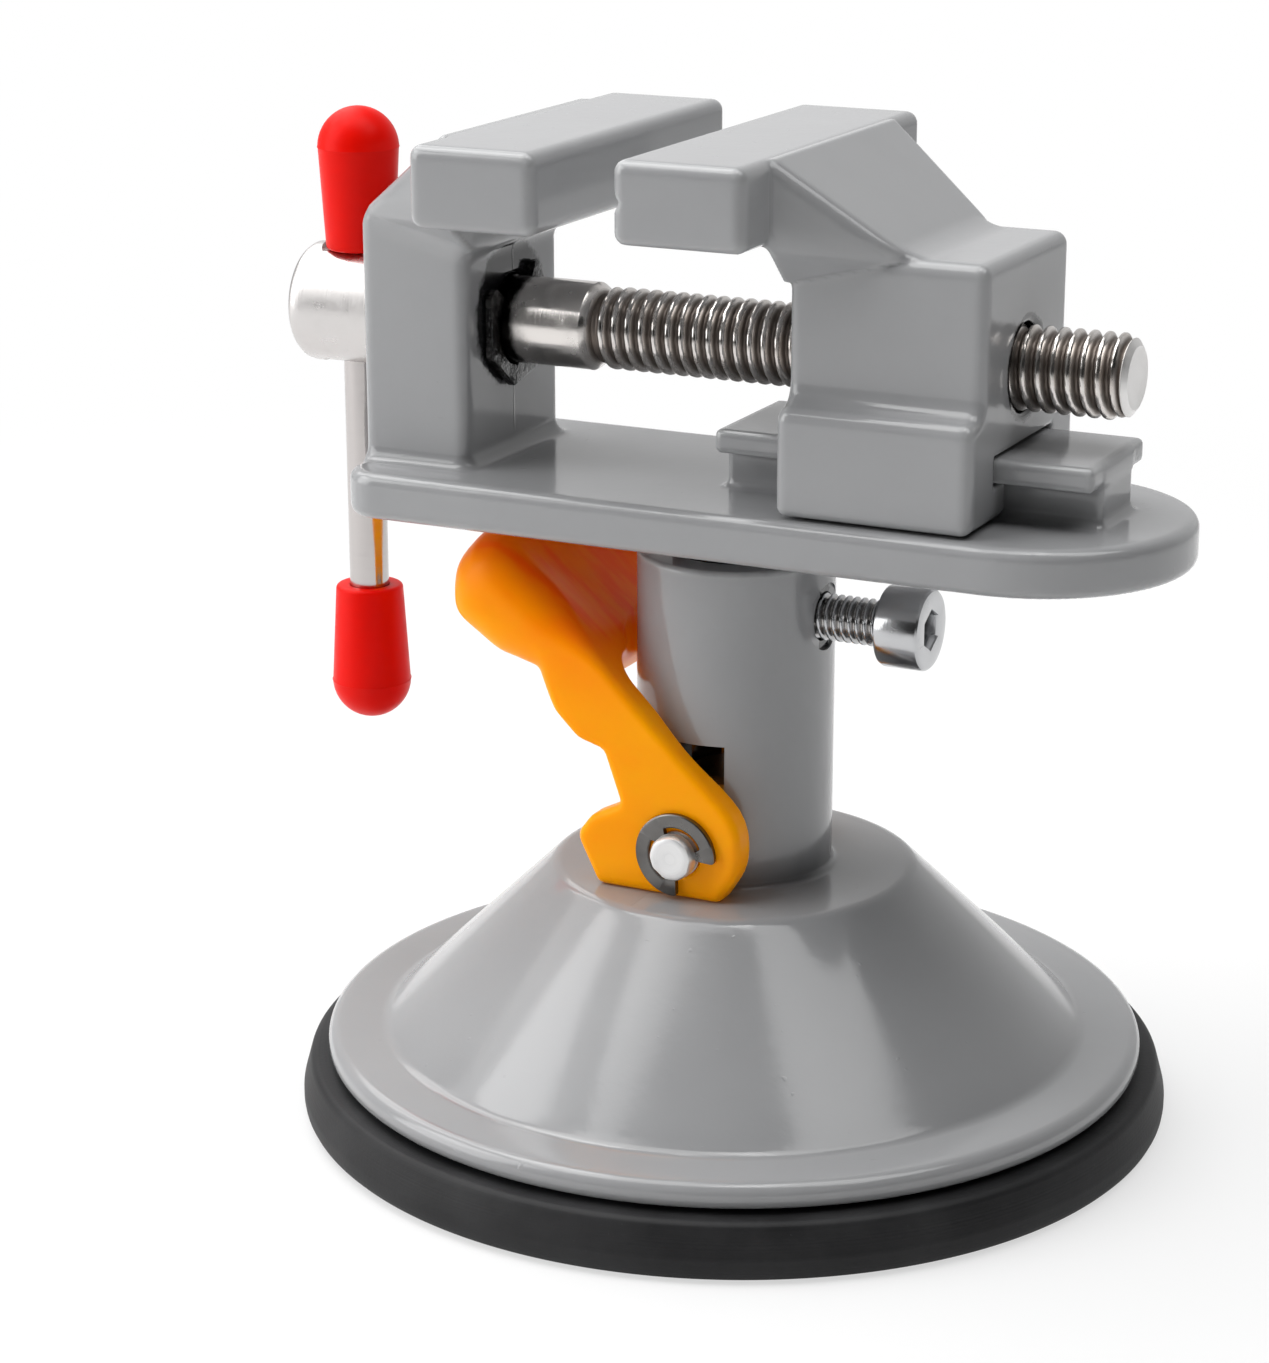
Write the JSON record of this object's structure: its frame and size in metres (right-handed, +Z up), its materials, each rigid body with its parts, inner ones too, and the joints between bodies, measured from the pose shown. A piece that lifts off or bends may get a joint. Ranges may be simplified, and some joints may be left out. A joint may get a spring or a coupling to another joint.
{
  "type": "suction base vise",
  "caption": "Small bench vise with a screw-driven sliding jaw on a swivelling head, held down by a lever-operated suction base.",
  "frame": {"origin": "centre of the rubber pad's flat underside, where the vise stands on the bench", "axes": "+X along the lead screw towards its free end, +Y along the jaws' width away from the lever's front cheek, +Z up along the swivel axis"},
  "size_m": [0.0809, 0.0762, 0.0852],
  "materials": {
    "grey_paint": "gloss",
    "black_rubber": "matte",
    "plain_steel": "satin",
    "bright_steel": "polished",
    "screw_steel": "polished",
    "zinc_steel": "polished",
    "spring_steel": "satin",
    "greased_steel": "gloss",
    "orange_plastic": "gloss",
    "red_plastic": "gloss"
  },
  "bodies": {
    "base": {"base_housing": "grey_paint", "suction_cup": "black_rubber"},
    "stem": {"insert_plate": "plain_steel", "lift_stud": "plain_steel", "pivot_pin": "bright_steel", "front_clip": "spring_steel", "rear_clip": "spring_steel"},
    "lever": {"cam_lever": "orange_plastic"},
    "clamp": {"clamp_screw": "zinc_steel"},
    "head": {"vise_body": "grey_paint"},
    "jaw": {"moving_jaw": "grey_paint"},
    "screw": {"lead_screw": "screw_steel", "screw_clip": "greased_steel"},
    "bar": {"handle_bar": "bright_steel", "upper_cap": "red_plastic", "lower_cap": "red_plastic"}
  },
  "joints": [
    {"name": "head_swivel", "type": "hinge", "parent": "base", "child": "head", "pos_m": [0, 0, 0.0501], "axis": [0, 0, 1], "continuous": true},
    {"name": "clamp_turn", "type": "hinge", "parent": "base", "child": "clamp", "pos_m": [0, 0, 0.045], "axis": [1, 0, 0], "range_deg": [0, 1080]},
    {"name": "stem_lift", "type": "slide", "parent": "base", "child": "stem", "axis": [0, 0, 1], "range_m": [0, 0.00466], "deforming": ["suction_cup"]},
    {"name": "lever_turn", "type": "hinge", "parent": "stem", "child": "lever", "pos_m": [0, 0, 0.0261], "axis": [0, -1, 0], "range_deg": [0, 62]},
    {"name": "screw_turn", "type": "hinge", "parent": "head", "child": "screw", "pos_m": [-0.0315, 0, 0.06795], "axis": [1, 0, 0], "range_deg": [-6653.8, 1973.8]},
    {"name": "jaw_slide", "type": "slide", "parent": "head", "child": "jaw", "axis": [1, 0, 0], "range_m": [-0.00685, 0.0231]},
    {"name": "bar_slide", "type": "slide", "parent": "screw", "child": "bar", "axis": [0, 0, 1], "range_m": [0, 0.02066]}
  ],
  "couplings": [
    {"joint": "stem_lift", "follows": "lever_turn", "m_per_rad": 0.0043},
    {"joint": "screw_turn", "follows": "jaw_slide", "rad_per_m": -5026.5}
  ]
}
